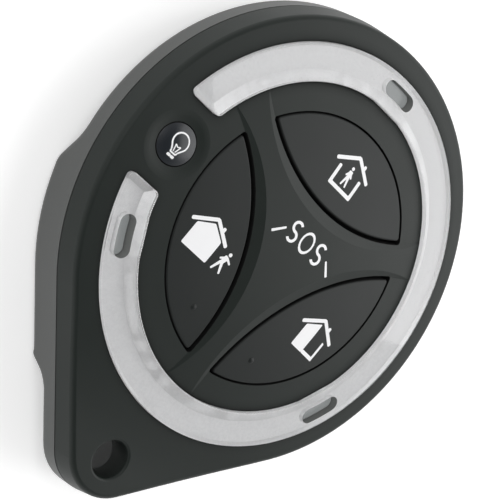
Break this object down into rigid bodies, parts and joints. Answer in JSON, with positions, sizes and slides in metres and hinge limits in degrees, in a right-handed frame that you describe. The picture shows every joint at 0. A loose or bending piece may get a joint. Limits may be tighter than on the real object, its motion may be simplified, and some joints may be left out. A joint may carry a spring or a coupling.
{
  "type": "alarm key fob",
  "caption": "Round flat remote key fob with a keyring eye, a light ring with windows, lens-shaped push buttons, a small round button and a coin cell inside.",
  "frame": {"origin": "centre of the round case, on the plane that the flat battery hump rests on", "axes": "+Z out of the front, +Y away from the keyring eye, +X to the right seen from the front"},
  "size_m": [0.0498, 0.0576, 0.011],
  "materials": {
    "case_black": "satin moulded, fine texture",
    "button_black": "satin moulded",
    "light_button_black": "gloss moulded",
    "ring_pearl": "pearl, slightly translucent",
    "window_grey": "smoked lens",
    "reflector_white": "white film",
    "board_green": "solder resist",
    "switch_black": "moulded",
    "stem_red": "moulded",
    "sprung_steel": "bright",
    "screw_steel": "black zinc",
    "cell_steel": "satin nickel",
    "seal_grey": "moulded",
    "electrode_black": "pressed powder",
    "diode_white": "clear resin",
    "chip_black": "moulded",
    "crystal_can": "bright",
    "passive_tan": "ceramic",
    "antenna_brass": "drawn wire",
    "sign_white": "printed ink"
  },
  "bodies": {
    "case": {"front_cover": "case_black", "rear_cover": "case_black", "light_ring": "ring_pearl", "ring_reflector": "reflector_white", "status_windows": "window_grey", "switch_bases": "switch_black", "switch_domes": "sprung_steel", "switch_cover_plates": "sprung_steel", "circuit_board": "board_green", "case_screws": "screw_steel", "cell_can": "cell_steel", "cell_seal": "seal_grey", "cell_lid": "cell_steel", "cell_electrodes": "electrode_black", "positive_clip": "sprung_steel", "negative_contact": "sprung_steel", "status_leds": "diode_white", "controller_chip": "chip_black", "radio_chip": "chip_black", "crystal": "crystal_can", "capacitors": "passive_tan", "resistors": "chip_black", "antenna_wire": "antenna_brass"},
    "home_key": {"home_button": "button_black", "home_switch_stem": "stem_red"},
    "away_key": {"away_button": "button_black", "away_switch_stem": "stem_red"},
    "night_key": {"night_button": "button_black", "night_switch_stem": "stem_red"},
    "light_key": {"light_button": "light_button_black", "light_switch_stem": "stem_red"}
  },
  "joints": [
    {"name": "home_press", "type": "slide", "parent": "case", "child": "home_key", "axis": [0, 0, -1], "range_m": [0, 0.0003], "stiffness_N_per_m": 5000},
    {"name": "away_press", "type": "slide", "parent": "case", "child": "away_key", "axis": [0, 0, -1], "range_m": [0, 0.0003], "stiffness_N_per_m": 5000},
    {"name": "night_press", "type": "slide", "parent": "case", "child": "night_key", "axis": [0, 0, -1], "range_m": [0, 0.0003], "stiffness_N_per_m": 5000},
    {"name": "light_press", "type": "slide", "parent": "case", "child": "light_key", "axis": [0, 0, -1], "range_m": [0, 0.0003], "stiffness_N_per_m": 5000}
  ]
}
